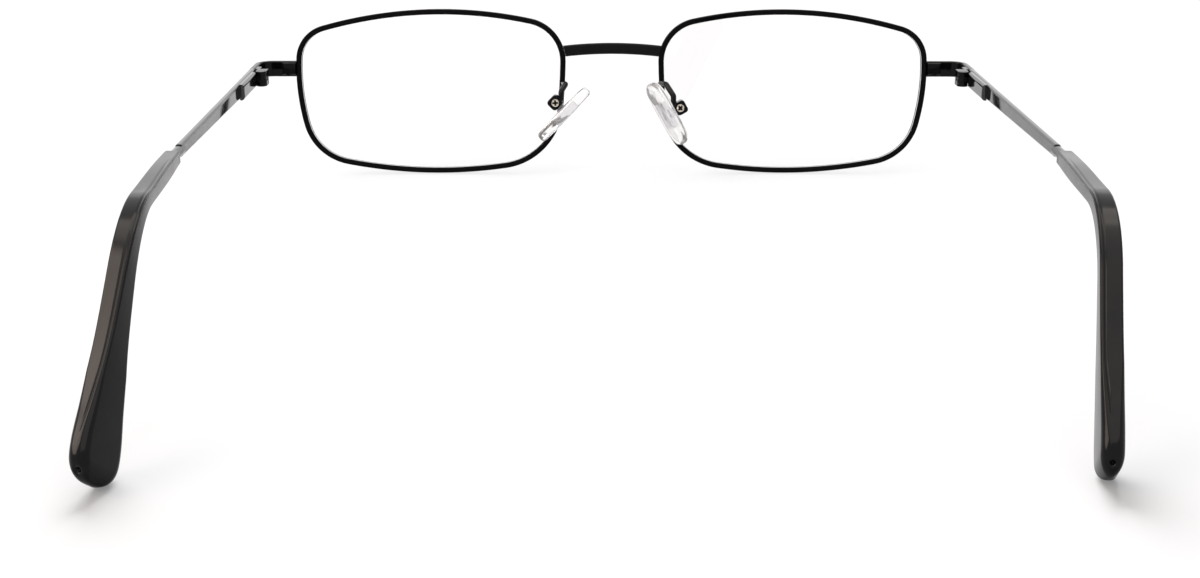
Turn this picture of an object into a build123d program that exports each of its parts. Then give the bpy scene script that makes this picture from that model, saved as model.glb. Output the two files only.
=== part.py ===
from build123d import *
import os
import numpy as np
from math import cos, radians, sin, sqrt

# Rectangular metal eyeglasses with spring hinges. Millimetres and degrees.
# The glasses rest on the lower rims and the temple tips, on the plane z = 0.
# +Z is up, the front faces -Y and the temples reach towards +Y.
# Left and right are the wearer's: the wearer's left is +X. Left pieces are modelled, right ones mirrored.

# Front: eyewires and lenses
lens_width = 51.2  # across one rim, between wire middles
lens_height = 30.9
rim_gap = 19.0  # between the two rims at their nearest, between wire middles
front_tilt = 9.0  # the top of the front leans forward
base_curve_radius = 125.0  # radius of the lenses' bulge
rim_wall = 1.03
rim_depth = 1.8
rim_rounding = 0.28
rim_cut = 0.03  # saw cut through the rim at its lock, all but closed by the lock screw
groove_width = 0.8
groove_depth = 0.42
lens_thickness = 1.5
lens_clearance = 0.03
braze_gap = 0.01  # between the rim and what is brazed to it

# The rim's outline is eight arcs that meet without a corner, from the bottom round by the temple side.
# Each turns by its own angle. The four corners' radii are shares of the lens height, the four sides'
# radii follow from the width and the height.
outline_start_angle = -8.93  # direction of the outline where the bottom arc starts
outline_angles = {
    "bottom": 20.8,
    "lower outer corner": 64.1,
    "outer side": 18.2,
    "upper outer corner": 70.3,
    "top": 27.1,
    "upper inner corner": 79.7,
    "inner side": 3.9,
    "lower inner corner": 75.9,
}
corner_radius_shares = {
    "lower outer corner": 0.3285,
    "upper outer corner": 0.2068,
    "upper inner corner": 0.2534,
    "lower inner corner": 0.4175,
}

# Bridge: flat bar that arches up and forward
bridge_height = 2.15
bridge_thickness = 1.3
bridge_rounding = 0.4
bridge_level_share = 0.7573  # its ends above the lowest point of the rims' wire middle, of the lens height
bridge_rise = 0.5
bridge_bow = 0.8

# End pieces: straps that turn the corner from the rims to the temples
end_piece_height = 3.0
end_piece_thickness = 1.1
end_piece_level_share = 0.6472
end_piece_forward = 0.35  # strap middle in front of the rim middle
end_piece_corner = 2.6  # radius of the strap's middle line at the corner
end_piece_rounding = 0.3
end_piece_reach = 8.2  # its outer face out from the wire middle on the temple side

# Rim locks: split blocks behind the end pieces
lock_length = 2.5
lock_height = 2.3
lock_depth = 1.9
lock_rounding = 0.25
lock_level = 0.1  # split above the end piece's middle
lock_screw_radius = 0.45
lock_head_radius = 0.7
lock_head_height = 0.45
lock_screw_inset = 1.25  # screw axis from the rim's outer face
lock_screw_back = 0.27  # screw axis behind the rim's rear face
lock_screw_reach = 0.7  # screw end above the split
lock_hole_spare = 0.05

# Hinges: fork on the end piece, slider on the temple, screw through both
hinge_setback = 10.1  # strap middle to hinge screw axis
hinge_inset = 2.6  # temple's outer face to hinge screw axis
knuckle_radius = 1.0
hinge_height = 2.8
middle_knuckle_height = 1.0
knuckle_gap = 0.04
seam_ahead = 2.0  # hinge screw axis back from the seam between end piece and temple
seam_gap = 0.02
hinge_screw_radius = 0.5
hinge_head_radius = 0.72
hinge_head_height = 0.4
slot_width = 0.22
slot_depth = 0.2
slot_length = 2.2  # longer than the screw heads are wide
screw_clearance = 0.03
leaf_length = 2.4
leaf_thickness = 0.9
leaf_rounding = 0.6
leaf_clearance = 0.15  # fork to seam, so that the temple can spring outwards

# Temples: flat bars that narrow towards a thin core
temple_rise = 3.0  # the temples climb towards the back
temple_thickness = 1.1
temple_front_height = 3.0
temple_rear_height = 2.0
temple_rounding = 0.38
temple_length = 59.5  # hinge screw axis to the end of the flat bar
neck_radius = 0.85
core_radius = 0.6
core_end_gap = 9.0  # core ends this far before the end of the tip

# Spring hinge: a stem on the slider pulls a nut against a coil spring
housing_length = 12.4
housing_height = 2.9
housing_stand = 0.85  # its face in front of the temple's inner face
housing_rounding = 0.55
housing_gap = 0.3  # front of the housing behind the knuckles
bore_radius = 0.64
bore_inset = 1.0  # bore axis in from the temple's outer face
guide_length = 2.6
guide_height = 1.0
guide_thickness = 0.9
guide_clearance = 0.04
stem_radius = 0.3
stem_nut_length = 0.8
stem_nut_radius = 0.56
stop_ring_length = 0.5
stop_ring_gap = 0.9  # room for the guide to travel, in front of the ring
spring_room = 5.0  # ring to nut at rest
spring_wire_radius = 0.09
spring_coils = 12
spring_wire_sides = 8
bore_end_gap = 0.6  # free bore behind the nut
spring_travel = 0.5  # the temple slides back this far when it is spread outwards
running_gap = 0.05
travel_room = 0.1

# Temple tips: plastic sleeves that bend down to the resting plane
tip_gap = 3.8  # bare neck between the flat bar and the front of the sleeve
tip_bend_back = 41.1  # end of the flat bar back to the bend, and to the end of the tip
tip_end_back = {"left": 66.45, "right": 65.2}
tip_kink_radius = 40.0
tip_bend_radius = 19.3
tip_bend_up = {"left": 1.05, "right": 1.6}
tip_end_height = {"left": 1.205, "right": 1.298}  # middle line above the resting plane at the very end
tip_bend_in = {"left": 2.9, "right": 4.0}  # inward set of the bend and of the end
tip_end_in = {"left": 2.25, "right": 8.65}
tip_twist = {"left": 34.0, "right": 1.8}  # the broad face turned in at the end
tip_twist_start_share = 0.35  # where the twist begins and over how much of the tip it grows
tip_twist_length_share = 0.45
tip_thickness = 2.95
tip_width = 7.0
core_clearance = 0.04
# Sections along a tip: where as a share of its length, thickness and width as shares of the largest
tip_section_shares = [
    (0.0, 0.6, 0.255),
    (0.01, 0.72, 0.325),
    (0.035, 0.8, 0.375),
    (0.15, 0.88, 0.42),
    (0.4, 0.96, 0.385),
    (0.52, 1.0, 0.445),
    (0.64, 1.0, 0.51),
    (0.76, 1.0, 0.625),
    (0.86, 1.0, 0.82),
    (0.93, 0.99, 1.0),
    (0.965, 0.93, 0.985),
    (0.985, 0.8, 0.82),
    (0.996, 0.56, 0.6),
    (1.0, 0.3, 0.33),
]
tip_corner_share = 0.43  # section corner radius as a share of the smaller side

# Nose pads: silicone pad with a stiff core, held by a screw in a box on a bent wire
pad_length = 13.2
pad_width = 7.2
pad_thickness = 2.3
pad_rounding = 0.85
pad_corner_share = 0.46  # radius of the pad's round ends as a share of its width
pad_offset = 2.75  # pad middle from the screw axis
pad_slide = {"left": -0.45, "right": 0.2}  # pad middle along its length from the screw axis
pad_tilt = {"left": 44.0, "right": 29.0}
pad_splay = {"left": 4.0, "right": 16.0}
pad_screw_side = {"left": 10.95, "right": 13.0}  # screw axis from the middle of the bridge
pad_screw_level_share = {"left": 0.4547, "right": 0.42395}
pad_swing = 10.0  # the pad rocks this far each way about its screw
pad_back = 6.2  # box middle behind the rims' middle
box_depth = 2.6
box_height = 2.5
box_near = 1.1  # box side towards the pad and the far side, from the screw axis
box_far = 1.25
box_corner = 0.65
box_rounding = 0.16
tab_thickness = 1.0
tab_radius = 0.8
tab_clearance = 0.08
core_plate_length = 5.2
core_plate_width = 3.2
core_plate_thickness = 0.8
pad_screw_radius = 0.42
pad_head_radius = 0.87
pad_head_height = 0.5
cross_width = 0.24
cross_length = 1.13
cross_depth = 0.25
pad_screw_lead = 0.2  # screw end short of the box's front face
arm_radius = 0.54
arm_level_share = 0.5599  # where the arm leaves the rim
arm_sunk = 0.2  # brazed into the back of the rim
arm_reach = 2.6  # how far the arm goes straight back before it turns down
arm_lift = 1.75  # how far above its end the arm turns down into the box
arm_bend = 0.8
arm_out = {"left": -0.5, "right": 0.9}  # where the arm turns down, outwards from where it starts
arm_near = {"left": 0.6, "right": 0.9}  # arm's end from the screw axis, towards the pad and up along it
arm_end_up = 1.0

overrun = 8.0  # how far a cut or a prism runs past what it cuts

half_gap = rim_gap / 2
lens_middle_x = half_gap + lens_width / 2
lens_middle_v = lens_height / 2
front_width = (half_gap + lens_width + end_piece_reach) * 2  # over the two end pieces
bridge_level = bridge_level_share * lens_height
end_piece_level = end_piece_level_share * lens_height
arm_level = arm_level_share * lens_height
pad_screw_level = {side: share * lens_height for side, share in pad_screw_level_share.items()}
tip_start = temple_length + tip_gap
tip_bend_at = temple_length + tip_bend_back
tip_reach = {side: temple_length + back for side, back in tip_end_back.items()}


def clamp(value, low, high):
    return max(low, min(high, value))


def outline_headings():
    headings = [outline_start_angle]
    for turn in outline_angles.values():
        headings.append(headings[-1] + turn)
    return headings


def arc_run(start, end):
    # Rightward and upward travel of an arc of radius one between two headings
    return sin(radians(end)) - sin(radians(start)), cos(radians(start)) - cos(radians(end))


def outline_radii():
    # The outline closes, and its right half spans the width and its rising half the height
    headings = outline_headings()
    names = list(outline_angles)
    rows = []
    for name, start, end in zip(names, headings, headings[1:]):
        across, up = arc_run(start, end)
        leftward, _ = arc_run(clamp(start, 90, 270), clamp(end, 90, 270))
        _, rising = arc_run(clamp(start, 0, 180), clamp(end, 0, 180))
        rows.append((across, up, -leftward, rising))
    effect = np.array(rows).T
    radii = np.array([corner_radius_shares.get(name, 0) * lens_height for name in names])
    sides = [n for n, name in enumerate(names) if name not in corner_radius_shares]
    wanted = np.array([0, 0, lens_width, lens_height]) - effect @ radii
    radii[sides] = np.linalg.solve(effect[:, sides], wanted)
    return radii


outline_arc_radii = outline_radii()


def outline_face(offset):
    # The rim's outline on the lens plane, moved outwards by an offset, about the middle of the lens
    headings = outline_headings()
    point = Vector(0, 0)
    middles = []
    lowest = leftmost = 0
    for radius, start, end in zip(outline_arc_radii, headings, headings[1:]):
        middle = point + Vector(-sin(radians(start)), cos(radians(start))) * radius
        point = middle + Vector(sin(radians(end)), -cos(radians(end))) * radius
        if start <= 0 <= end:
            lowest = middle.Y - radius
        if start <= 270 <= end:
            leftmost = middle.X - radius
        middles.append(middle)
    shift = Vector(-lens_width / 2 - leftmost, -lens_height / 2 - lowest)
    edges = []
    for middle, radius, start, end in zip(middles, outline_arc_radii, headings, headings[1:]):
        grown = radius + offset
        arc = CenterArc(middle + shift, grown, start - 90, end - start)
        edges.append(arc)
    return make_face(Wire(edges))


def prism(offset):
    # A straight block with the outline of the rim, through the lens plane
    return extrude(outline_face(offset), amount=overrun, both=True)


side_sag = base_curve_radius - sqrt(base_curve_radius**2 - (lens_width / 2) ** 2)


def dome(outward):
    # The ball whose front is the lens surface, grown outwards: its sides pass through the lens plane
    ball = Rot(90, 0, 0) * Sphere(base_curve_radius + outward)
    return Pos(0, 0, side_sag - base_curve_radius) * ball


def curved_slab(offset, thickness):
    # The outline's block between two balls: as thick as given, curved as the lens is
    return (prism(offset) & dome(thickness / 2)) - dome(-thickness / 2)


def bulge(x, v):
    # How far the lens surface stands in front of the lens plane
    reach = (x - lens_middle_x) ** 2 + (v - lens_middle_v) ** 2
    return side_sag - base_curve_radius + sqrt(base_curve_radius**2 - reach)


# The front's own plane: x across, v up along the front, f forward. It stands on the rims' lowest edge.
rim_ground = (
    (rim_wall / 2 - rim_rounding) * cos(radians(front_tilt))
    + (bulge(lens_middle_x, 0) + rim_depth / 2 - rim_rounding) * sin(radians(front_tilt))
    + rim_rounding
)
front_origin = Vector(0, 0, rim_ground)
front_up = Vector(0, -sin(radians(front_tilt)), cos(radians(front_tilt)))
front_forward = Vector(0, -cos(radians(front_tilt)), -sin(radians(front_tilt)))
front_plane = Plane(origin=front_origin, x_dir=(1, 0, 0), z_dir=front_forward)

# The hinge's own plane: a outwards, s back along the temple, t up along the hinge screw
temple_back = Vector(0, cos(radians(temple_rise)), sin(radians(temple_rise)))
temple_up = Vector(0, -sin(radians(temple_rise)), cos(radians(temple_rise)))
strap_middle = front_origin + front_up * end_piece_level + front_forward * end_piece_forward
hinge_x = front_width / 2 - hinge_inset
hinge_point = Vector(hinge_x, 0, 0) + strap_middle + temple_back * hinge_setback
hinge_plane = Plane(origin=hinge_point, x_dir=(1, 0, 0), z_dir=temple_up)

temple_outer = hinge_inset
temple_inner = hinge_inset - temple_thickness
temple_middle = hinge_inset - temple_thickness / 2
bore_axis = hinge_inset - bore_inset
housing_face = temple_inner - housing_stand
housing_start = knuckle_radius + housing_gap
guide_start = housing_start
ring_start = guide_start + guide_length + stop_ring_gap
spring_start = ring_start + stop_ring_length
nut_start = spring_start + spring_room
bore_end = nut_start + stem_nut_length + bore_end_gap


def box_between(low, high):
    # A box from its lowest corner to its highest
    size = Vector(*high) - Vector(*low)
    return Pos(*low) * Box(size.X, size.Y, size.Z, align=(Align.MIN, Align.MIN, Align.MIN))


def rod_along_y(radius, start, end):
    # A round rod along Y from start to end
    return Pos(0, start, 0) * Rot(-90, 0, 0) * Cylinder(
        radius, end - start, align=(Align.CENTER, Align.CENTER, Align.MIN)
    )


def rod_up(radius, bottom, top):
    return Pos(0, 0, bottom) * Cylinder(
        radius, top - bottom, align=(Align.CENTER, Align.CENTER, Align.MIN)
    )


lens_place = Pos(lens_middle_x, lens_middle_v, 0)
rim_side = lens_middle_x + lens_width / 2  # wire middle on the temple side
lock_split = end_piece_level + lock_level


def rim():
    ring = curved_slab(rim_wall / 2, rim_depth) - prism(-rim_wall / 2)
    ring = fillet(ring.edges().filter_by(GeomType.LINE, reverse=True), rim_rounding)
    ring -= curved_slab(groove_depth - rim_wall / 2, groove_width)
    cut = Pos(lens_width / 2, lock_split - lens_middle_v, 0) * Box(rim_wall * 2, rim_cut, rim_depth * 2)
    return front_plane.location * lens_place * (ring - cut)


def lens():
    body = curved_slab(-rim_wall / 2 - lens_clearance, lens_thickness)
    bevel_offset = groove_depth - rim_wall / 2 - lens_clearance
    bevel = curved_slab(bevel_offset, groove_width - lens_clearance * 2)
    return front_plane.location * lens_place * (body + bevel)


def rim_block():
    # All the space inside the rim's outer wall, to cut what is brazed to it
    return front_plane.location * lens_place * prism(rim_wall / 2 + braze_gap)


def bridge():
    start = Vector(-half_gap, bridge_level, 0)
    top = Vector(0, bridge_level + bridge_rise, bridge_bow)
    end = Vector(half_gap, bridge_level, 0)
    path = Spline(start, top, end)
    across = Vector(0, 0, 1)
    section_plane = Plane(origin=start, x_dir=across.cross(path % 0), z_dir=path % 0)
    section = section_plane * RectangleRounded(bridge_height, bridge_thickness, bridge_rounding)
    bar = front_plane.location * sweep(section, path=path)
    cutter = rim_block()
    return bar - cutter - mirror(cutter, about=Plane.YZ)


def strap_line():
    # Middle line of the end piece, seen from above in the hinge's plane
    inner = Vector(rim_side - hinge_x, -hinge_setback)
    corner = Vector(temple_middle, -hinge_setback)
    seam = Vector(temple_middle, -seam_ahead - seam_gap)
    return FilletPolyline([inner, corner, seam], radius=end_piece_corner)


def end_piece():
    line = strap_line()
    start_plane = Plane(origin=line @ 0, x_dir=(0, 1, 0), z_dir=line % 0)
    section = start_plane * RectangleRounded(end_piece_thickness, end_piece_height, end_piece_rounding)
    strap = hinge_plane.location * sweep(section, path=line)
    return strap - rim_block()


def strap_block():
    # The end piece as a plain band, to cut the lock that lies behind it
    line = strap_line()
    start_plane = Plane(origin=line @ 0, x_dir=(0, 1, 0), z_dir=line % 0)
    section = start_plane * Rectangle(end_piece_thickness, end_piece_height * 2)
    return hinge_plane.location * sweep(section, path=line)


lock_outer = rim_side + rim_wall / 2 + lock_length
lock_screw_x = rim_side + rim_wall / 2 + lock_screw_inset
lock_screw_f = -rim_depth / 2 - lock_screw_back


def lock_body():
    back = -rim_depth / 2 - lock_depth / 2
    low = (rim_side, lock_split - lock_height / 2, back)
    high = (lock_outer, lock_split + lock_height / 2, end_piece_forward)
    block = box_between(low, high)
    rear = block.edges().group_by(Axis.Z)[0]
    return front_plane.location * fillet(rear, lock_rounding) - rim_block() - strap_block()


def lock_screw_place():
    return front_plane.location * Pos(lock_screw_x, lock_split, lock_screw_f) * Rot(-90, 0, 0)


def lock_hole():
    shank = rod_up(lock_screw_radius + screw_clearance, -overrun, lock_screw_reach + lock_hole_spare)
    head = rod_up(lock_head_radius + screw_clearance, -overrun, -lock_height / 2 + lock_head_height)
    return lock_screw_place() * (shank + head)


def lock_half(side):
    # side is 1 for the upper half and -1 for the lower
    middle = lock_split + side * (rim_cut + overrun) / 2
    keep = Pos(lock_outer, middle, 0) * Box(overrun, overrun, overrun)
    return (lock_body() & front_plane.location * keep) - lock_hole()


def rim_lock_screw():
    bottom = -lock_height / 2
    shank = rod_up(lock_screw_radius, bottom, lock_screw_reach)
    head = rod_up(lock_head_radius, bottom, bottom + lock_head_height - screw_clearance)
    slot = Pos(0, 0, bottom) * Box(slot_length, slot_width, slot_depth * 2)
    return lock_screw_place() * (shank + head - slot)


fork_half = hinge_height / 2
middle_half = middle_knuckle_height / 2


def front_hinge():
    # Two knuckles on a leaf that is brazed inside the end piece, in front of the seam
    leaf_rear = -seam_ahead - leaf_clearance
    arm = box_between((-knuckle_radius, leaf_rear, -fork_half), (knuckle_radius, 0, fork_half))
    leaf_low = (temple_inner - leaf_thickness, leaf_rear - leaf_length, -fork_half)
    leaf = box_between(leaf_low, (temple_inner, leaf_rear, fork_half))
    upright = leaf.edges().filter_by(Axis.Z).group_by(Axis.X)[0]
    leaf = fillet(upright.sort_by(Axis.Y)[0], leaf_rounding)
    fork = arm + leaf + rod_up(knuckle_radius, -fork_half, fork_half)
    mouth = middle_half + knuckle_gap
    mouth_front = -knuckle_radius - knuckle_gap
    fork -= box_between((-overrun, mouth_front, -mouth), (overrun, overrun, mouth))
    fork -= rod_up(hinge_screw_radius + screw_clearance, -overrun, overrun)
    head_seat = fork_half - hinge_head_height - screw_clearance
    fork -= rod_up(hinge_head_radius + screw_clearance, head_seat, overrun)
    return hinge_plane.location * fork


def hinge_screw():
    shank = rod_up(hinge_screw_radius, -fork_half, fork_half)
    head = rod_up(hinge_head_radius, fork_half - hinge_head_height, fork_half)
    slot = Pos(0, 0, fork_half) * Box(slot_length, slot_width, slot_depth * 2)
    return hinge_plane.location * (shank + head - slot)


def hinge_slider():
    knuckle = rod_up(knuckle_radius, -middle_half, middle_half)
    half_guide = guide_thickness / 2
    link_end = guide_start - running_gap
    inner_link = box_between((0, 0, -middle_half), (temple_inner - running_gap, link_end, middle_half))
    outer_link = box_between(
        (0, knuckle_radius, -middle_half), (bore_axis + half_guide, link_end, middle_half)
    )
    guide = box_between(
        (bore_axis - half_guide, knuckle_radius, -guide_height / 2),
        (bore_axis + half_guide, guide_start + guide_length, guide_height / 2),
    )
    stem = Pos(bore_axis, 0, 0) * rod_along_y(stem_radius, guide_start, nut_start + stem_nut_length)
    shape = knuckle + inner_link + outer_link + guide + stem
    shape -= rod_up(hinge_screw_radius + screw_clearance, -overrun, overrun)
    return hinge_plane.location * shape


def stop_ring():
    ring = rod_along_y(bore_radius, ring_start, spring_start)
    ring -= rod_along_y(stem_radius + running_gap, ring_start - overrun, spring_start + overrun)
    return hinge_plane.location * Pos(bore_axis, 0, 0) * ring


def stem_nut():
    nut = rod_along_y(stem_nut_radius, nut_start, nut_start + stem_nut_length)
    nut -= rod_along_y(stem_radius, nut_start - overrun, nut_start + overrun)
    return hinge_plane.location * Pos(bore_axis, 0, 0) * nut


def hinge_spring():
    # A coil round the stem between the ring and the nut
    gap = spring_wire_radius + running_gap
    coil_radius = (stem_radius + bore_radius) / 2
    height = spring_room - gap * 2
    coil = Helix(pitch=height / spring_coils, height=height, radius=coil_radius)
    start = Plane(origin=coil @ 0, z_dir=coil % 0)
    wire = sweep(start * RegularPolygon(spring_wire_radius, spring_wire_sides), path=coil, is_frenet=True)
    return hinge_plane.location * Pos(bore_axis, spring_start + gap, 0) * Rot(-90, 0, 0) * wire


def bore_space():
    # The guide's slot, the travel room and the round bore, cut into housing and temple
    half_guide = guide_thickness / 2 + guide_clearance
    half_height = guide_height / 2 + guide_clearance
    slot = box_between(
        (bore_axis - half_guide, -overrun, -half_height),
        (bore_axis + half_guide, ring_start - travel_room, half_height),
    )
    slot_front = knuckle_radius - spring_travel - travel_room
    slot &= box_between((-overrun, slot_front, -overrun), (overrun, overrun * 2, overrun))
    bore = Pos(bore_axis, 0, 0) * rod_along_y(bore_radius, ring_start, bore_end)
    throat = rod_along_y(stem_radius + running_gap, ring_start - travel_room * 2, ring_start + travel_room)
    throat = Pos(bore_axis, 0, 0) * throat
    return slot + bore + throat


def spring_housing():
    low = (housing_face, housing_start, -housing_height / 2)
    high = (temple_inner, housing_start + housing_length, housing_height / 2)
    body = box_between(low, high)
    inner = body.edges().group_by(Axis.X)[0]
    body = fillet(inner, housing_rounding)
    return hinge_plane.location * (body - bore_space())


def temple_profile():
    # Side view of the flat bar, in the hinge's plane
    front_half = temple_front_height / 2
    rear_half = temple_rear_height / 2
    points = [
        (-seam_ahead, -front_half),
        (temple_length, -rear_half),
        (temple_length, rear_half),
        (-seam_ahead, front_half),
    ]
    side_plane = Plane(origin=(temple_inner, 0, 0), x_dir=(0, 1, 0), z_dir=(1, 0, 0))
    return side_plane * make_face(Polyline(points, close=True))


def tip_line(side):
    # Middle line of neck, core and tip in the hinge's plane: along the temple, then in and down
    climb = tip_reach[side] * temple_back.Z
    end_up = (tip_end_height[side] - hinge_point.Z - climb) / temple_up.Z
    points = [
        Vector(temple_middle, temple_length - neck_radius, 0),
        Vector(temple_middle, tip_start + neck_radius, 0),
        Vector(temple_middle - tip_bend_in[side], tip_bend_at, tip_bend_up[side]),
        Vector(temple_middle - tip_end_in[side], tip_reach[side], end_up),
    ]
    return FilletPolyline(points, radius=[tip_kink_radius, tip_bend_radius])


def rod_on_line(line, radius):
    start = Plane(origin=line @ 0, z_dir=line % 0)
    return sweep(start * Circle(radius), path=line)


def temple(side):
    bar = extrude(temple_profile(), amount=temple_thickness)
    long_edges = bar.edges().sort_by(SortBy.LENGTH)[-4:]
    bar = fillet(long_edges, temple_rounding) - bore_space()
    line = tip_line(side)
    core = rod_on_line(line.trim(0, 1 - core_end_gap / line.length), core_radius)
    neck = Pos(temple_middle, 0, 0) * rod_along_y(neck_radius, temple_length - neck_radius, tip_start)
    return hinge_plane.location * (bar + neck + core)


def tip_frame(line, where, twist):
    # Plane across the tip: x along its thickness, y along its width
    direction = line % where
    thick = direction.cross(Vector(0, 0, 1)).normalized()
    plane = Plane(origin=line @ where, x_dir=thick, z_dir=direction)
    return plane * Rot(0, 0, twist)


def temple_tip(side):
    line = tip_line(side)
    start = (tip_start - temple_length + neck_radius) / line.length
    sections = []
    for where_share, thick_share, wide_share in tip_section_shares:
        where = start + (1 - start) * where_share
        thick = tip_thickness * thick_share
        wide = tip_width * wide_share
        turned_share = (where_share - tip_twist_start_share) / tip_twist_length_share
        turn = tip_twist[side] * clamp(turned_share, 0, 1)
        corner = min(thick, wide) * tip_corner_share
        place = tip_frame(line, where, turn)
        sections.append(place * RectangleRounded(thick, wide, corner))
    sleeve = loft(sections)
    hollow = rod_on_line(line.trim(0, 1 - core_end_gap / line.length), core_radius + core_clearance)
    return hinge_plane.location * (sleeve - hollow)


def pad_frame(side):
    # At the pad screw in the front's plane: x away from the pad, y along the pad, z forward
    middle = Pos(pad_screw_side[side], pad_screw_level[side], -pad_back)
    return front_plane.location * middle * Rot(0, 0, pad_tilt[side])


def pad_splayed(side):
    # The pad's own frame inside the screw's frame, turned so that its rear edge stands outwards
    return Pos(-pad_offset, 0, 0) * Rot(0, -pad_splay[side], 0)


def pad_screw():
    head_end = -box_depth / 2
    shank = rod_up(pad_screw_radius, head_end, box_depth / 2 - pad_screw_lead)
    head = rod_up(pad_head_radius, head_end, head_end + pad_head_height - screw_clearance)
    bar = Pos(0, 0, head_end) * Box(cross_length, cross_width, cross_depth * 2)
    return shank + head - bar - Rot(0, 0, 90) * bar


def pad_screw_hole():
    shank = rod_up(pad_screw_radius + screw_clearance, -overrun, box_depth / 2 - pad_screw_lead)
    head = rod_up(pad_head_radius + screw_clearance, -overrun, pad_head_height - box_depth / 2)
    return shank + head


def box_filled():
    # The box before its slot and hole are cut, about the screw axis
    outline = Pos((box_far - box_near) / 2, 0) * RectangleRounded(box_far + box_near, box_height, box_corner)
    return extrude(outline, amount=box_depth / 2, both=True)


def pad_box():
    body = box_filled()
    body = fillet(body.edges().group_by(Axis.Z)[0], box_rounding)
    room = tab_radius + tab_clearance
    slot = Circle(room)
    for swing in (-pad_swing, 0, pad_swing):
        strip = Pos(-overrun / 2, 0, 0) * Rectangle(overrun, room * 2)
        slot += Rot(0, 0, swing) * strip
    slot = extrude(slot, amount=tab_thickness / 2 + tab_clearance, both=True)
    return body - slot - pad_screw_hole()


def pad_core(side):
    plate = pad_splayed(side) * Box(core_plate_thickness, core_plate_length, core_plate_width)
    tab = Cylinder(tab_radius, tab_thickness)
    tab += Pos(-pad_offset / 2, 0, 0) * Box(pad_offset, tab_radius * 2, tab_thickness)
    return plate + tab - rod_up(pad_screw_radius + screw_clearance, -overrun, overrun)


def nose_pad(side):
    outline = Plane.YZ * RectangleRounded(pad_length, pad_width, pad_width * pad_corner_share)
    body = extrude(outline, amount=pad_thickness / 2, both=True)
    rims = body.edges().group_by(Axis.X)
    body = fillet(rims[0] + rims[-1], pad_rounding)
    body = pad_splayed(side) * Pos(0, pad_slide[side], 0) * body
    return body - pad_core(side)


def pad_arm(side):
    # From the back of the rim straight back, then down into the upper inner corner of the box
    tilt = radians(pad_tilt[side])
    near = arm_near[side]
    end_x = pad_screw_side[side] - near * cos(tilt) - arm_end_up * sin(tilt)
    end_v = pad_screw_level[side] - near * sin(tilt) + arm_end_up * cos(tilt)
    points = [
        Vector(half_gap, arm_level, arm_sunk - rim_depth / 2),
        Vector(half_gap + arm_out[side], arm_level, -rim_depth / 2 - arm_reach),
        Vector(end_x, end_v + arm_lift, arm_radius - pad_back),
        Vector(end_x, end_v, -pad_back),
    ]
    wire = rod_on_line(FilletPolyline(points, radius=arm_bend), arm_radius)
    ring = lens_place * curved_slab(rim_wall / 2, rim_depth)
    return front_plane.location * (wire - ring) - pad_frame(side) * box_filled()


def main():
    os.makedirs("parts", exist_ok=True)
    nodes = {"bridge": bridge()}
    for side in ("left", "right"):
        pieces = {
            "rim": rim(),
            "lens": lens(),
            "end_piece": end_piece(),
            "closing_block_upper": lock_half(1),
            "closing_block_lower": lock_half(-1),
            "rim_lock_screw": rim_lock_screw(),
            "front_hinge": front_hinge(),
            "hinge_screw": hinge_screw(),
            "hinge_slider": hinge_slider(),
            "spring_housing": spring_housing(),
            "hinge_spring": hinge_spring(),
            "stop_ring": stop_ring(),
            "stem_nut": stem_nut(),
            "temple": temple(side),
            "temple_tip": temple_tip(side),
            "pad_arm": pad_arm(side),
            "pad_box": pad_frame(side) * pad_box(),
            "pad_screw": pad_frame(side) * pad_screw(),
            "pad_core": pad_frame(side) * pad_core(side),
            "nose_pad": pad_frame(side) * nose_pad(side),
        }
        for name, piece in pieces.items():
            if side == "right":
                piece = mirror(piece, about=Plane.YZ)
            nodes[f"{side}_{name}"] = piece
    boxes = [piece.bounding_box() for piece in nodes.values()]
    middle_y = (min(box.min.Y for box in boxes) + max(box.max.Y for box in boxes)) / 2
    print("everything moves forward by", middle_y)
    print("hinge axis passes", hinge_point, "along", temple_up)
    for side in ("left", "right"):
        print(side, "pad screw at", pad_frame(side).position, "along", front_forward)
    for name, piece in nodes.items():
        piece = Pos(0, -middle_y, 0) * piece
        export_step(piece, f"parts/{name}.step")
        print(name, len(piece.solids()), round(piece.volume, 3), piece.bounding_box())


main()
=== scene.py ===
import math

import bpy
import numpy as np
from mathutils import Matrix, Vector


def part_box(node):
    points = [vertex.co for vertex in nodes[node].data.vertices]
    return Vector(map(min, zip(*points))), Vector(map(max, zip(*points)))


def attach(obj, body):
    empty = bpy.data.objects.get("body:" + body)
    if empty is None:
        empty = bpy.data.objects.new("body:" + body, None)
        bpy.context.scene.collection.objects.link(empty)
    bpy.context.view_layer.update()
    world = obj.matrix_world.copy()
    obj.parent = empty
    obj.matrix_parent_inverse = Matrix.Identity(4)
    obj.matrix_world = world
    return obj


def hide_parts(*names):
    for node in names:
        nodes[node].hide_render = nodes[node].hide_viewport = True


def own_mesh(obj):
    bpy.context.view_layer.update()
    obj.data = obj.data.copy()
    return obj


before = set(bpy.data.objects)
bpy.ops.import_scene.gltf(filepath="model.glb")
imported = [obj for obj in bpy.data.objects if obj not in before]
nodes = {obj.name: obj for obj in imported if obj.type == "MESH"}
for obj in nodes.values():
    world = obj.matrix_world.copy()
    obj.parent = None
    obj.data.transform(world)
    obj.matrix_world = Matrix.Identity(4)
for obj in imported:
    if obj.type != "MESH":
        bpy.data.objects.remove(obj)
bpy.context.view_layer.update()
sides = ("left", "right")
mm = 0.001
print("frame loaded:", len(nodes), "nodes")


# finishes

def newMaterial(name):
    material = bpy.data.materials.new(name)
    material.use_nodes = True
    tree = material.node_tree
    shader = tree.nodes["Principled BSDF"]
    return material, tree, shader


def setSockets(shader, values):
    for socket, value in values.items():
        shader.inputs[socket].default_value = value


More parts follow.
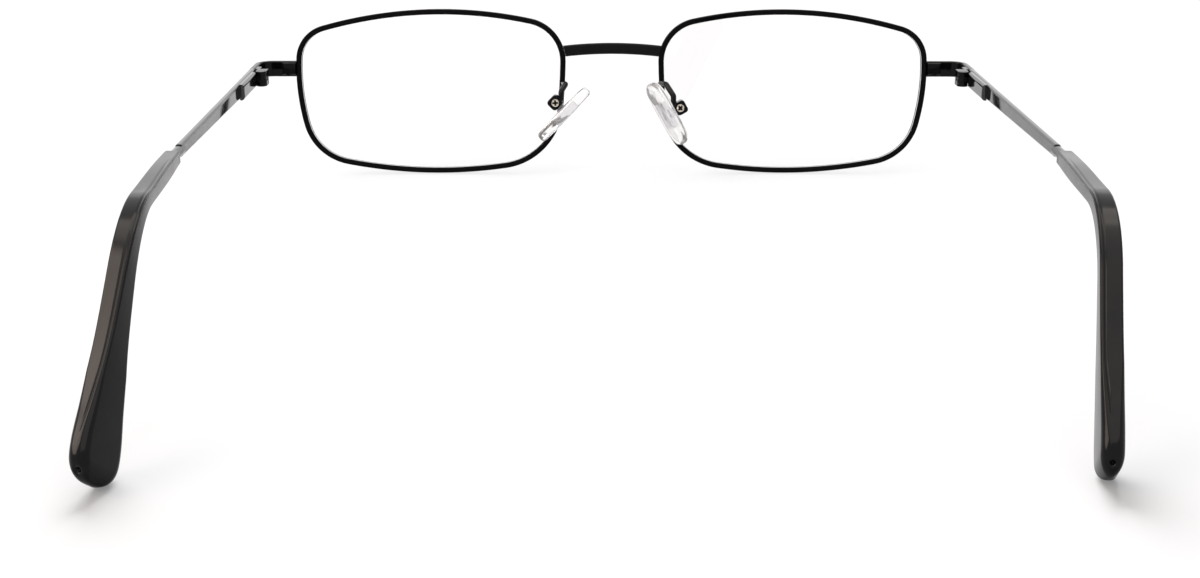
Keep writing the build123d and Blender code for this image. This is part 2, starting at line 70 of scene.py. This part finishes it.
def noiseNode(tree, scale, detail, stretch=(1, 1, 1)):
    # a noise on Object coordinates, its size given in features per metre
    coords = tree.nodes.new("ShaderNodeTexCoord")
    mapping = tree.nodes.new("ShaderNodeMapping")
    mapping.inputs["Scale"].default_value = stretch
    noise = tree.nodes.new("ShaderNodeTexNoise")
    noise.inputs["Scale"].default_value = scale
    noise.inputs["Detail"].default_value = detail
    tree.links.new(coords.outputs["Object"], mapping.inputs["Vector"])
    tree.links.new(mapping.outputs["Vector"], noise.inputs["Vector"])
    return noise.outputs["Fac"]


def rampTo(tree, source, target, ends, span=(0.3, 0.7)):
    # over the span of the source, the target goes from the first end to the second, a value or a colour
    ramp = tree.nodes.new("ShaderNodeValToRGB")
    for element, position, end in zip(ramp.color_ramp.elements, span, ends):
        element.position = position
        element.color = (*end, 1) if isinstance(end, tuple) else (end, end, end, 1)
    tree.links.new(source, ramp.inputs["Fac"])
    tree.links.new(ramp.outputs["Color"], target)


# patches and waves: a noise's size, detail and stretch; gloss: the two ends of the roughness
finish = {
    "lacquer": {
        "dark": (0.0014, 0.0014, 0.0017), "light": (0.0026, 0.0026, 0.003), "gloss": (0.03, 0.07), "index": 1.5,
        "patches": (900, 2, (1, 0.12, 1)), "waves": (160, 1, (1, 0.2, 1)), "waveStrength": 0.006, "waveHeight": 0.00002,
    },
    "tip": {
        "dark": (0.0028, 0.0027, 0.0031), "light": (0.005, 0.0046, 0.0044), "gloss": (0.12, 0.18), "index": 1.49,
        "patches": (260, 4), "waves": (300, 1), "waveStrength": 0.03, "waveHeight": 0.00003,
    },
    "screw": {"dark": (0.45, 0.38, 0.31), "light": (0.78, 0.7, 0.62), "gloss": (0.2, 0.34), "patches": (2400, 3)},
    "steel": {"dark": (0.45, 0.45, 0.46), "light": (0.62, 0.62, 0.63), "gloss": (0.2, 0.34), "patches": (2400, 3)},
    "lens": {
        "sockets": {
            "Base Color": (1.0, 1.0, 1.0, 1), "Metallic": 0.0, "IOR": 1.5, "Transmission Weight": 1.0,
            "Specular IOR Level": 0.2,
        },
        "haze": (40, 2), "gloss": (0.0, 0.008),
    },
    "silicone": {
        "sockets": {"Metallic": 0.0, "IOR": 1.36, "Transmission Weight": 0.9, "Specular IOR Level": 0.4},
        "haze": (500, 2), "gloss": (0.01, 0.04),
        # face is the base colour where the pad faces the eye; edge is painted shade towards its outline
        "face": (0.995, 0.99, 0.985), "edge": (0.16, 0.14, 0.15), "span": (0.5, 0.95),
    },
    "core": {
        "sockets": {"Metallic": 0.0, "IOR": 1.5, "Transmission Weight": 0.85},
        "haze": (900, 3), "gloss": (0.04, 0.1),
        # edge is painted shade towards the core's outline
        "face": (0.84, 0.84, 0.87), "edge": (0.02, 0.02, 0.03), "span": (0.35, 0.85),
    },
}


def patchy(tree, shader, look):
    # one noise moves colour and gloss together
    patches = noiseNode(tree, *look["patches"])
    rampTo(tree, patches, shader.inputs["Base Color"], (look["dark"], look["light"]))
    rampTo(tree, patches, shader.inputs["Roughness"], look["gloss"])


def coatMaterial(name, look, level):
    # lacquer or plastic with a slight waviness; level is how strongly it mirrors
    material, tree, shader = newMaterial(name)
    setSockets(shader, {"Metallic": 0.0, "IOR": look["index"], "Specular IOR Level": level})
    patchy(tree, shader, look)
    bump = tree.nodes.new("ShaderNodeBump")
    bump.inputs["Strength"].default_value = look["waveStrength"]
    bump.inputs["Distance"].default_value = look["waveHeight"]
    tree.links.new(noiseNode(tree, *look["waves"]), bump.inputs["Height"])
    tree.links.new(bump.outputs["Normal"], shader.inputs["Normal"])
    return material


def metalMaterial(name, look):
    material, tree, shader = newMaterial(name)
    setSockets(shader, {"Metallic": 1.0})
    patchy(tree, shader, look)
    return material


def clearMaterial(name, look):
    material, tree, shader = newMaterial(name)
    setSockets(shader, look["sockets"])
    if "edge" in look:
        # painted shade: clear where the surface faces the eye, darkened to the edge colour where it turns away,
        # standing in for the dark outline the rim of a clear moulding shows
        facing = tree.nodes.new("ShaderNodeLayerWeight")
        facing.inputs["Blend"].default_value = 0.5
        rampTo(tree, facing.outputs["Facing"], shader.inputs["Base Color"], (look["face"], look["edge"]), look["span"])
    rampTo(tree, noiseNode(tree, *look["haze"]), shader.inputs["Roughness"], look["gloss"])
    return material


# the lacquer mirrors least on the thin rims and most along the temples
materials = {
    "black_lacquer": coatMaterial("blackLacquer", finish["lacquer"], 0.1),
    "rim_lacquer": coatMaterial("rimLacquer", finish["lacquer"], 0.04),
    "temple_lacquer": coatMaterial("templeLacquer", finish["lacquer"], 0.5),
    "dark_plastic": coatMaterial("darkPlastic", finish["tip"], 0.12),
    "screw_steel": metalMaterial("screwSteel", finish["screw"]),
    "bare_steel": metalMaterial("bareSteel", finish["steel"]),
    "clear_lens": clearMaterial("clearLens", finish["lens"]),
    "clear_silicone": clearMaterial("clearSilicone", finish["silicone"]),
    "clear_plastic": clearMaterial("clearPlastic", finish["core"]),
}

# which finish each kind of node takes; the rest is lacquered
nodeFinish = {
    "lens": "clear_lens", "nose_pad": "clear_silicone", "pad_core": "clear_plastic", "temple_tip": "dark_plastic",
    "rim": "rim_lacquer", "temple": "temple_lacquer", "spring_housing": "temple_lacquer",
    "pad_screw": "screw_steel", "hinge_spring": "bare_steel", "stop_ring": "bare_steel", "stem_nut": "bare_steel",
}
for name, obj in nodes.items():
    kind = name.split("_", 1)[-1]
    obj.data.materials.clear()
    obj.data.materials.append(materials[nodeFinish.get(kind, "black_lacquer")])
print("materials:", sorted(materials))


# surfaces that stand for CAD nodes

def addSurface(name, points, slot, body, replaced):
    # points is rings x around x 3; the rings are closed, and both ends close on a pole
    rings, around = points.shape[:2]
    poles = np.array([points[0].mean(axis=0), points[-1].mean(axis=0)])
    verts = np.concatenate([points.reshape(-1, 3), poles]) * mm
    ring = np.arange(rings - 1)[:, None] * around
    step = np.arange(around)[None, :]
    after = (step + 1) % around
    quads = np.stack([ring + step, ring + after, ring + around + after, ring + around + step], axis=-1).reshape(-1, 4)
    firstPole = rings * around
    lastRing = firstPole - around
    first = np.stack([after[0], step[0], np.full(around, firstPole)], axis=-1)
    last = np.stack([step[0] + lastRing, after[0] + lastRing, np.full(around, firstPole + 1)], axis=-1)
    triangles = np.concatenate([first, last])
    # a surface whose volume comes out negative is turned over
    a, b, c, d = verts[quads].transpose(1, 0, 2)
    volume = np.einsum("ij,ij->i", a, np.cross(b, c)).sum() + np.einsum("ij,ij->i", a, np.cross(c, d)).sum()
    if volume < 0:
        quads, triangles = quads[:, ::-1], triangles[:, ::-1]
    mesh = bpy.data.meshes.new(name)
    mesh.from_pydata(verts.tolist(), [], quads.tolist() + triangles.tolist())
    mesh.polygons.foreach_set("use_smooth", np.ones(len(mesh.polygons), bool))
    mesh.materials.append(materials[slot])
    mesh.update()
    obj = bpy.data.objects.new(name, mesh)
    bpy.context.scene.collection.objects.link(obj)
    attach(obj, body)
    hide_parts(replaced)
    return obj


def unit(vectors):
    return vectors / np.linalg.norm(vectors, axis=-1, keepdims=True)


def filletLine(corners, radii, count=60):
    # a polyline whose inner corners are rounded by arcs that touch both runs
    corners = np.asarray(corners, float)
    run = [corners[:1]]
    for radius, before, here, beyond in zip(radii, corners, corners[1:], corners[2:]):
        u, v = unit(before - here), unit(beyond - here)
        half = np.arccos(np.clip(u @ v, -1, 1)) / 2
        middle = here + unit(u + v) * radius / np.sin(half)
        e1 = unit(here + u * radius / np.tan(half) - middle)
        e2 = unit(here + v * radius / np.tan(half) - middle)
        sweep = np.pi - 2 * half
        share = np.linspace(0, 1, count)[:, None]
        run.append(middle + radius * (np.sin((1 - share) * sweep) * e1 + np.sin(share * sweep) * e2) / np.sin(sweep))
    run.append(corners[-1:])
    return np.concatenate(run)


def alongLine(line, first, shares, near=0.6):
    # points and directions along a polyline: shares go from the distance first to its end, and each
    # direction is taken between the two points that lie near on both sides
    far = np.concatenate([[0], np.cumsum(np.linalg.norm(np.diff(line, axis=0), axis=1))])
    start = first / far[-1]
    reach = (start + (1 - start) * shares) * far[-1]

    def at(distance):
        return np.stack([np.interp(distance, far, line[:, k]) for k in range(3)], axis=1)

    ahead = at(np.clip(reach + near, 0, far[-1])) - at(np.clip(reach - near, 0, far[-1]))
    return at(reach), unit(ahead)


# the hinge screws' places in mm, the temples' climb in degrees, and how far in a temple's middle lies
hinge = {
    "left": (66.3, -57.1449, 21.0997), "right": (-66.3, -57.1449, 21.0997), "rise": 3.0, "templeMiddle": 2.05,
}


def fromHingeFrame(points, side):
    # outwards, back along the temple and up its hinge screw, into the frame of the whole object
    rise = math.radians(hinge["rise"])
    outwards = 1 if side == "left" else -1
    axes = np.array([(outwards, 0, 0), (0, math.cos(rise), math.sin(rise)), (0, -math.sin(rise), math.cos(rise))])
    return np.array(hinge[side]) + points @ axes


# temple tips: plastic sleeves, flat on the narrow side, with a shallow groove by the inner edge
tip = {
    # the middle line, in mm along, up from and in from the temple
    "barEnd": 59.5, "sleeveStart": 63.3, "neck": 0.85, "bendAt": 100.6, "reach": {"left": 125.95, "right": 124.7},
    "kinkRadius": 40.0, "bendRadius": 19.3, "bendUp": {"left": 1.05, "right": 1.6},
    "endHeight": {"left": 1.205, "right": 1.298}, "bendIn": {"left": 2.9, "right": 4.0},
    "endIn": {"left": 2.25, "right": 8.65},
    # the broad face turns in, in degrees, over this stretch of the tip
    "twist": {"left": 22.0, "right": 1.8}, "twistFrom": 0.35, "twistOver": 0.45,
    # the section, in shares of thickness and width at shares of the length
    "thickness": 2.95, "width": 7.0, "rings": 420,
    "at": (0.0, 0.035, 0.15, 0.4, 0.52, 0.64, 0.76, 0.86, 0.93, 1.0),
    "thick": (0.78, 0.81, 0.88, 0.96, 1.0, 1.0, 1.0, 1.0, 1.0, 1.0),
    "wide": (0.295, 0.306, 0.345, 0.303, 0.355, 0.441, 0.584, 0.844, 1.07, 1.11),
    # corner radii as shares of the smaller side, and the stretch over which one turns into the other
    "corner": 0.14, "endCorner": 0.42, "cornerFrom": 0.8, "cornerOver": 0.15,
    # the front edge and the end round off
    "mouthShare": 0.012, "mouthSize": 0.72, "thickEnd": 0.965, "thickPower": 2.2, "wideEnd": 0.942, "widePower": 2.3,
    "grooveDepth": 0.13, "grooveWidth": 0.26, "grooveFrom": 0.1, "grooveTo": 0.93, "grooveFade": (0.1, 0.08),
    "dimpleShare": 0.985, "dimpleDepth": 0.6, "dimpleRadius": 0.55, "dimpleLean": 0.6,
}


def smoothed(at, values, shares):
    # a smooth curve through the given values (piecewise cubic with averaged slopes)
    at, values = np.array(at), np.array(values)
    slope = np.gradient(values, at)
    k = np.clip(np.searchsorted(at, shares) - 1, 0, len(at) - 2)
    step = at[k + 1] - at[k]
    s = (shares - at[k]) / step
    return (values[k] * (1 + 2 * s) * (1 - s) ** 2 + step * slope[k] * s * (1 - s) ** 2
            + values[k + 1] * s * s * (3 - 2 * s) + step * slope[k + 1] * s * s * (s - 1))


def tipLine(side):
    # the middle line of the neck and the sleeve, in the hinge's frame
    rise = math.radians(hinge["rise"])
    endUp = (tip["endHeight"][side] - hinge[side][2] - tip["reach"][side] * math.sin(rise)) / math.cos(rise)
    middle = hinge["templeMiddle"]
    return filletLine([
        (middle, tip["barEnd"] - tip["neck"], 0), (middle, tip["sleeveStart"] + tip["neck"], 0),
        (middle - tip["bendIn"][side], tip["bendAt"], tip["bendUp"][side]),
        (middle - tip["endIn"][side], tip["reach"][side], endUp),
    ], (tip["kinkRadius"], tip["bendRadius"]))


def endRounding(share, first, power):
    # a superellipse quarter from the share first to the very end
    return np.clip(1 - ((share - first) / (1 - first)).clip(0, 1) ** power, 1e-4, 1) ** (1 / power)


def tipSection(thick, wide, corner, groove):
    # rounded rectangle, thick x wide, as arrays for every ring at once: four arcs and, along the
    # narrow side at -wide/2, extra points that dip into the groove near the inner edge (-thick/2)
    arc = np.radians(np.linspace(0, 90, 13))
    xs, ys = [], []
    for sx, sy, turn in ((1, 1, 0), (-1, 1, 90), (-1, -1, 180), (1, -1, 270)):
        angle = arc + math.radians(turn)
        xs.append(sx * (thick / 2 - corner) + corner * np.cos(angle))
        ys.append(sy * (wide / 2 - corner) + corner * np.sin(angle))
    along = np.linspace(0, 1, 26)[1:-1]
    flatX = -(thick / 2 - corner) + along * (thick - 2 * corner)
    dipAt = -(thick / 2 - corner) + tip["grooveWidth"] * 0.9
    dip = groove * np.exp(-(((flatX - dipAt) / tip["grooveWidth"]) ** 2) * 2.5)
    xs.insert(3, flatX)
    ys.insert(3, -wide / 2 + dip)
    return np.concatenate(xs, axis=1), np.concatenate(ys, axis=1)


def templeTip(side):
    share = np.linspace(0, 1, tip["rings"])
    # more rings at the mouth and at the rounded end
    share = np.sort(np.concatenate([share, np.linspace(0, 0.02, 14)[1:-1], np.linspace(0.96, 1, 50)[1:-1]]))
    place, ahead = alongLine(tipLine(side), tip["sleeveStart"] - tip["barEnd"] + tip["neck"], share)
    lip = np.sqrt(np.clip(1 - (1 - share / tip["mouthShare"]).clip(0, 1) ** 2, 0, 1))
    mouth = tip["mouthSize"] + (1 - tip["mouthSize"]) * lip
    thick = smoothed(tip["at"], tip["thick"], share) * tip["thickness"] * mouth
    thick = (thick * endRounding(share, tip["thickEnd"], tip["thickPower"]))[:, None]
    wide = smoothed(tip["at"], tip["wide"], share) * tip["width"] * mouth
    wide = (wide * endRounding(share, tip["wideEnd"], tip["widePower"]))[:, None]
    rounder = np.clip((share - tip["cornerFrom"]) / tip["cornerOver"], 0, 1)
    cornerShare = tip["corner"] + (tip["endCorner"] - tip["corner"]) * rounder
    fadeIn, fadeOut = tip["grooveFade"]
    fade = np.clip((share - tip["grooveFrom"]) / fadeIn, 0, 1) * np.clip((tip["grooveTo"] - share) / fadeOut, 0, 1)
    x, y = tipSection(thick, wide, np.minimum(thick, wide) * cornerShare[:, None], (tip["grooveDepth"] * fade)[:, None])
    # u and v: across the thickness and across the width, turned by the twist
    turn = np.radians(tip["twist"][side]) * np.clip((share - tip["twistFrom"]) / tip["twistOver"], 0, 1)
    turn = turn[:, None, None]
    across = unit(np.cross(ahead, (0, 0, 1)))[:, None]
    down = np.cross(ahead, across[:, 0])[:, None]
    u = np.cos(turn) * across + np.sin(turn) * down
    v = -np.sin(turn) * across + np.cos(turn) * down
    points = place[:, None] + x[..., None] * u + y[..., None] * v
    # the dimple: a round dip in the narrow side near the end, leaning back along the tip
    ring = np.argmin(np.abs(share - tip["dimpleShare"]))
    centre = place[ring] - v[ring, 0] * wide[ring] / 2
    gone = np.linalg.norm(points - centre, axis=-1)
    dent = tip["dimpleDepth"] * np.exp(-((gone / tip["dimpleRadius"]) ** 2) * 2)
    points = points + dent[..., None] * unit(v[ring, 0] - tip["dimpleLean"] * ahead[ring])
    points = fromHingeFrame(points, side)
    return addSurface(f"{side}_tip_sleeve", points, "dark_plastic", f"{side}_temple", f"{side}_temple_tip")


tipSleeves = [templeTip(side) for side in sides]
print("temple tips ready")


# nose pads: soft clear pads, domed on the nose's side
pad = {
    "screw": {"left": (10.95, -59.83119, 15.7208), "right": (13.0, -59.68255, 14.7823)},  # x taken outwards
    "tilt": {"left": 44.0, "right": 29.0}, "splay": {"left": 4.0, "right": 16.0}, "lean": 9.0,
    "offset": 2.75, "slide": {"left": -0.45, "right": 0.2},
    "length": 13.2, "width": 7.2, "thickness": 2.3, "corner": 3.31, "edge": 0.8, "crown": 0.15,
    "domeRings": 18, "edgeRings": 10,
}


def padPoints(side):
    # rings from the middle of one face out over its dome, round the edge and back over the other face:
    # each ring is the oblong outline, drawn in by inset, shrunk towards the middle and put at its level
    arc = np.linspace(0, np.pi / 2, pad["edgeRings"])
    dome = np.linspace(0.03, 0.98, pad["domeRings"])
    half = pad["thickness"] / 2
    shrink = np.concatenate([dome, np.ones(pad["edgeRings"])])
    inset = np.concatenate([np.ones(pad["domeRings"]), 1 - np.sin(arc)]) * pad["edge"]
    level = np.concatenate([half - pad["crown"] * dome ** 2, half - pad["crown"] - pad["edge"] * (1 - np.cos(arc))])
    shrink = np.concatenate([shrink, shrink[::-1]])
    inset = np.concatenate([inset, inset[::-1]])
    level = np.concatenate([level, -level[::-1]])
    turn = np.radians(np.linspace(0, 90, 30))
    corner = (pad["corner"] - inset)[:, None]
    ys, zs = [], []
    for sy, sz, more in ((1, 1, 0), (-1, 1, 90), (-1, -1, 180), (1, -1, 270)):
        angle = turn + math.radians(more)
        ys.append(sy * (pad["length"] / 2 - pad["corner"]) + corner * np.cos(angle))
        zs.append(sz * (pad["width"] / 2 - pad["corner"]) + corner * np.sin(angle))
    y = np.concatenate(ys, axis=1) * shrink[:, None]
    z = np.concatenate(zs, axis=1) * shrink[:, None]
    x = np.repeat(level[:, None], y.shape[1], axis=1)
    return np.stack([x, y + pad["slide"][side], z], axis=-1)


def fromPadFrame(points, side, splayed=True):
    # from the pad's own frame, or from its screw's, into the frame of the whole object
    splay, tilt, lean = (math.radians(angle) for angle in (pad["splay"][side], pad["tilt"][side], pad["lean"]))
    if splayed:
        turned = np.array([(math.cos(splay), 0, math.sin(splay)), (0, 1, 0), (-math.sin(splay), 0, math.cos(splay))])
        points = points @ turned + (-pad["offset"], 0, 0)
    up = np.array((0, -math.sin(lean), math.cos(lean)))
    forward = np.array((0, -math.cos(lean), -math.sin(lean)))
    out = np.array((1.0, 0, 0))
    axes = np.array([math.cos(tilt) * out + math.sin(tilt) * up, math.cos(tilt) * up - math.sin(tilt) * out, forward])
    place = np.array(pad["screw"][side]) + points @ axes
    return place * ((1, 1, 1) if side == "left" else (-1, 1, 1))


for side in sides:
    points = fromPadFrame(padPoints(side), side)
    addSurface(f"{side}_soft_pad", points, "clear_silicone", f"{side}_nose_pad", f"{side}_nose_pad")
print("nose pads ready")


# pad screws: round head with a rolled edge and a cross pressed into it, above a dark shank
screw = {
    "headRadius": 0.76, "headTop": 1.28, "headDepth": 0.5, "dome": 0.1, "edge": 0.12,
    "crossLength": 0.5, "crossWidth": 0.17, "crossDepth": 0.3, "sideSlope": 0.06, "endSlope": 0.08,
    "shankRadius": 0.42, "shankEnd": 1.0, "shankTip": 0.08, "turn": {"left": 38.0, "right": 12.0},
}


def crossArm(along, across):
    # 1 inside one arm of the cross, 0 outside, with sloping walls between
    wall = np.clip((screw["crossWidth"] - np.abs(across)) / screw["sideSlope"] + 0.5, 0, 1)
    end = np.clip((screw["crossLength"] - np.abs(along)) / screw["endSlope"] + 0.5, 0, 1)
    return wall * end


def screwPoints(side):
    # z over radius and angle: a low dome, less the cross; then down the edge and the shank
    angle = np.linspace(0, 2 * np.pi, 192, endpoint=False)[None, :]
    radius = (np.linspace(0.012, 1, 44) * (screw["headRadius"] - screw["edge"]))[:, None]
    x, y = radius * np.cos(angle), radius * np.sin(angle)
    cross = np.maximum(crossArm(x, y), crossArm(y, x))
    dip = cross * screw["crossDepth"] * (1 - 0.35 * radius / screw["headRadius"])
    z = -screw["headTop"] + screw["dome"] * (radius / screw["headRadius"]) ** 2 + dip
    top = np.stack([x, y, z], axis=-1)
    arc = np.linspace(0, np.pi / 2, 7)[1:, None]
    far = screw["headRadius"] - screw["edge"] * (1 - np.sin(arc))
    low = z[-1].mean() + screw["edge"] * (1 - np.cos(arc))
    underHead, shankTip = screw["headDepth"] - screw["headTop"], screw["shankEnd"] + screw["shankTip"]
    under = np.array([
        (screw["headRadius"], underHead), (screw["shankRadius"], underHead),
        (screw["shankRadius"], screw["shankEnd"]), (screw["shankRadius"] * 0.6, shankTip), (0.02, shankTip),
    ])
    far, low = np.concatenate([far, under[:, :1]]), np.concatenate([low, under[:, 1:]])
    rest = np.stack([far * np.cos(angle), far * np.sin(angle), low + 0 * angle], axis=-1)
    points = np.concatenate([top, rest])
    turn = math.radians(screw["turn"][side])
    spin = np.array([(math.cos(turn), math.sin(turn), 0), (-math.sin(turn), math.cos(turn), 0), (0, 0, 1)])
    # the faces of the cross, which take the painted shade of the recess
    crossShadeMask = np.zeros(points.shape[:2], int)
    crossShadeMask[:len(cross)] = cross > 0.3
    return points @ spin, crossShadeMask


for side in sides:
    points, crossShadeMask = screwPoints(side)
    points = fromPadFrame(points, side, splayed=False)
    head = addSurface(f"{side}_cross_screw", points, "screw_steel", "front", f"{side}_pad_screw")
    # painted shade: the cross's faces, and those round the head's middle, take black lacquer as a second material,
    # standing in for the shade inside the recess
    head.data.materials.append(materials["black_lacquer"])
    around = crossShadeMask.shape[1]
    faces = np.concatenate([crossShadeMask[:-1].ravel(), np.ones(around, int), np.zeros(around, int)])
    head.data.polygons.foreach_set("material_index", faces)
print("pad screws ready")


# hinge springs: steel coils with closed ends, each between its stop ring and its nut
coil = {
    "radius": 0.47, "wire": 0.09, "turns": 12.0, "steps": 460, "sides": 12, "keep": 0.9,
    "closed": 1.5, "closedPitch": 2.2,  # turns at each end, and their pitch in wire radii
}


def hingeCoil(side):
    # a circle carried along a helix whose climb is slow over its first and last turns; in the real hinge the
    # nut pushes the coil together against the stop ring when the temple is spread, but this coil keeps one length
    low, high = (np.array(corner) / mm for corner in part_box(f"{side}_hinge_spring"))
    rise = math.radians(hinge["rise"])
    back = np.array((0, math.cos(rise), math.sin(rise)))
    up = np.array((0, -math.sin(rise), math.cos(rise)))
    axes = np.array([(1, 0, 0), back, up])
    length = (high - low)[1] - 2 * coil["wire"]
    share = np.linspace(0, 1, coil["steps"])
    ends = coil["closed"] / coil["turns"]
    slow = coil["closedPitch"] * coil["closed"] * coil["wire"] / length
    climb = np.interp(share, (0, ends, 1 - ends, 1), (0, slow, 1 - slow, 1))
    angle = 2 * np.pi * share * coil["turns"]
    outward = np.stack([np.cos(angle), 0 * angle, np.sin(angle)], axis=1)
    line = (low + high) / 2 + (outward * coil["radius"] + (climb - 0.5)[:, None] * (0, length, 0)) @ axes
    outward = outward @ axes
    across = unit(np.cross(unit(np.gradient(line, axis=0)), outward))
    ring = np.linspace(0, 2 * np.pi, coil["sides"], endpoint=False)[None, :, None]
    points = line[:, None] + coil["wire"] * (np.cos(ring) * outward[:, None] + np.sin(ring) * across[:, None])
    piece = addSurface(f"{side}_coil_spring", points, "bare_steel", f"{side}_temple", f"{side}_hinge_spring")
    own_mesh(piece)


for side in sides:
    hingeCoil(side)
print("hinge springs ready")


# floor, light and camera
stage = {
    "floorHalf": 15.0, "floorLevel": -0.00005, "floorColour": (0.12, 0.12, 0.122), "floorGlow": 0.22,
    "skyStrength": 0.95,
    "sunStrength": 27.0, "sunHeight": 34.0, "sunAside": 5.0, "sunWidth": 44.0,  # degrees
}


def addObject(name, data):
    obj = bpy.data.objects.new(name, data)
    bpy.context.scene.collection.objects.link(obj)
    return obj


def floorPiece():
    half, level = stage["floorHalf"], stage["floorLevel"]
    mesh = bpy.data.meshes.new("floor")
    corners = [(-half, -half, level), (half, -half, level), (half, half, level), (-half, half, level)]
    mesh.from_pydata(corners, [], [(0, 1, 2, 3)])
    material, _, shader = newMaterial("paleFloor")
    # the pale sweep is a little overexposed: it gives some light of its own
    setSockets(shader, {
        "Base Color": (*stage["floorColour"], 1), "Roughness": 0.9, "Specular IOR Level": 0.0,
        "Emission Color": (1, 1, 1, 1), "Emission Strength": stage["floorGlow"],
    })
    mesh.materials.append(material)
    obj = addObject("floor", mesh)
    return obj


# places, targets and sizes in metres
softboxes = {
    "softboxSide": {
        "place": (0.84, 0.12, 0.66), "target": (0.06, 0.05, 0.01), "size": (0.6, 0.7), "power": 9.5,
        "colour": (1, 0.84, 0.73),
    },
    "softboxAbove": {
        "place": (-0.1, 0.15, 0.95), "target": (-0.05, 0, 0), "size": (1.0, 1.1), "power": 6.0,
        "colour": (1, 0.96, 0.92),
    },
    "softboxTop": {
        "place": (0.08, -0.42, 0.85), "target": (0, 0.03, 0), "size": (1.1, 0.35), "power": 3.4,
        "colour": (1, 0.9, 0.82),
    },
    "softboxFront": {
        "place": (0.0, -0.95, 0.2), "target": (0, 0, 0.02), "size": (1.6, 0.4), "power": 1.0, "colour": (1, 1, 1),
    },
}


def areaLight(name, box):
    data = bpy.data.lights.new(name, "AREA")
    data.shape = "RECTANGLE"
    data.size, data.size_y = box["size"]
    data.energy = box["power"]
    data.color = box["colour"]
    obj = addObject(name, data)
    obj.location = box["place"]
    obj.rotation_euler = (Vector(box["target"]) - Vector(box["place"])).to_track_quat("-Z", "Y").to_euler()


def tipShadowSun(floor):
    # a soft sun from beyond the front: only the floor catches it, and only the temple tips keep it off
    data = bpy.data.lights.new("softSun", "SUN")
    data.energy = stage["sunStrength"]
    data.angle = math.radians(stage["sunWidth"])
    obj = addObject("softSun", data)
    height, aside = math.radians(stage["sunHeight"]), math.radians(stage["sunAside"])
    down = Vector((-math.sin(aside) * math.cos(height), math.cos(aside) * math.cos(height), -math.sin(height)))
    obj.rotation_euler = down.to_track_quat("-Z", "Y").to_euler()
    catching = bpy.data.collections.new("sunCatchers")
    catching.objects.link(floor)
    blocking = bpy.data.collections.new("sunBlockers")
    for sleeve in tipSleeves:
        blocking.objects.link(sleeve)
    obj.light_linking.receiver_collection = catching
    obj.light_linking.blocker_collection = blocking


tipShadowSun(floorPiece())
for name, box in softboxes.items():
    areaLight(name, box)
world = bpy.data.worlds.new("studio")
bpy.context.scene.world = world
world.use_nodes = True
setSockets(world.node_tree.nodes["Background"], {"Color": (1, 1, 1, 1), "Strength": stage["skyStrength"]})
bpy.context.scene.view_settings.view_transform = "Standard"

camera = {
    "place": (5.53, 256.24, 98.10),  # mm
    "down": 20.89, "aside": -0.59, "roll": 0.17,  # degrees
    "focal": 50.81, "sensor": 36,  # mm
    "near": 0.01,  # m
}


def makeCamera():
    # the view direction from two angles, then the picture's right and up turned by the roll
    down, aside, roll = (math.radians(camera[k]) for k in ("down", "aside", "roll"))
    forward = Vector((math.sin(aside) * math.cos(down), -math.cos(aside) * math.cos(down), -math.sin(down)))
    right = Vector((-math.cos(aside), -math.sin(aside), 0))
    up = right.cross(forward)
    across = right * math.cos(roll) + up * math.sin(roll)
    upright = up * math.cos(roll) - right * math.sin(roll)
    data = bpy.data.cameras.new("camera")
    data.lens = camera["focal"]
    data.sensor_width = camera["sensor"]
    data.clip_start = camera["near"]
    obj = addObject("camera", data)
    turn = Matrix((across, upright, -forward)).transposed().to_4x4()
    obj.matrix_world = Matrix.Translation(Vector(camera["place"]) * mm) @ turn
    bpy.context.scene.camera = obj


makeCamera()
print("stage, lights and camera ready")
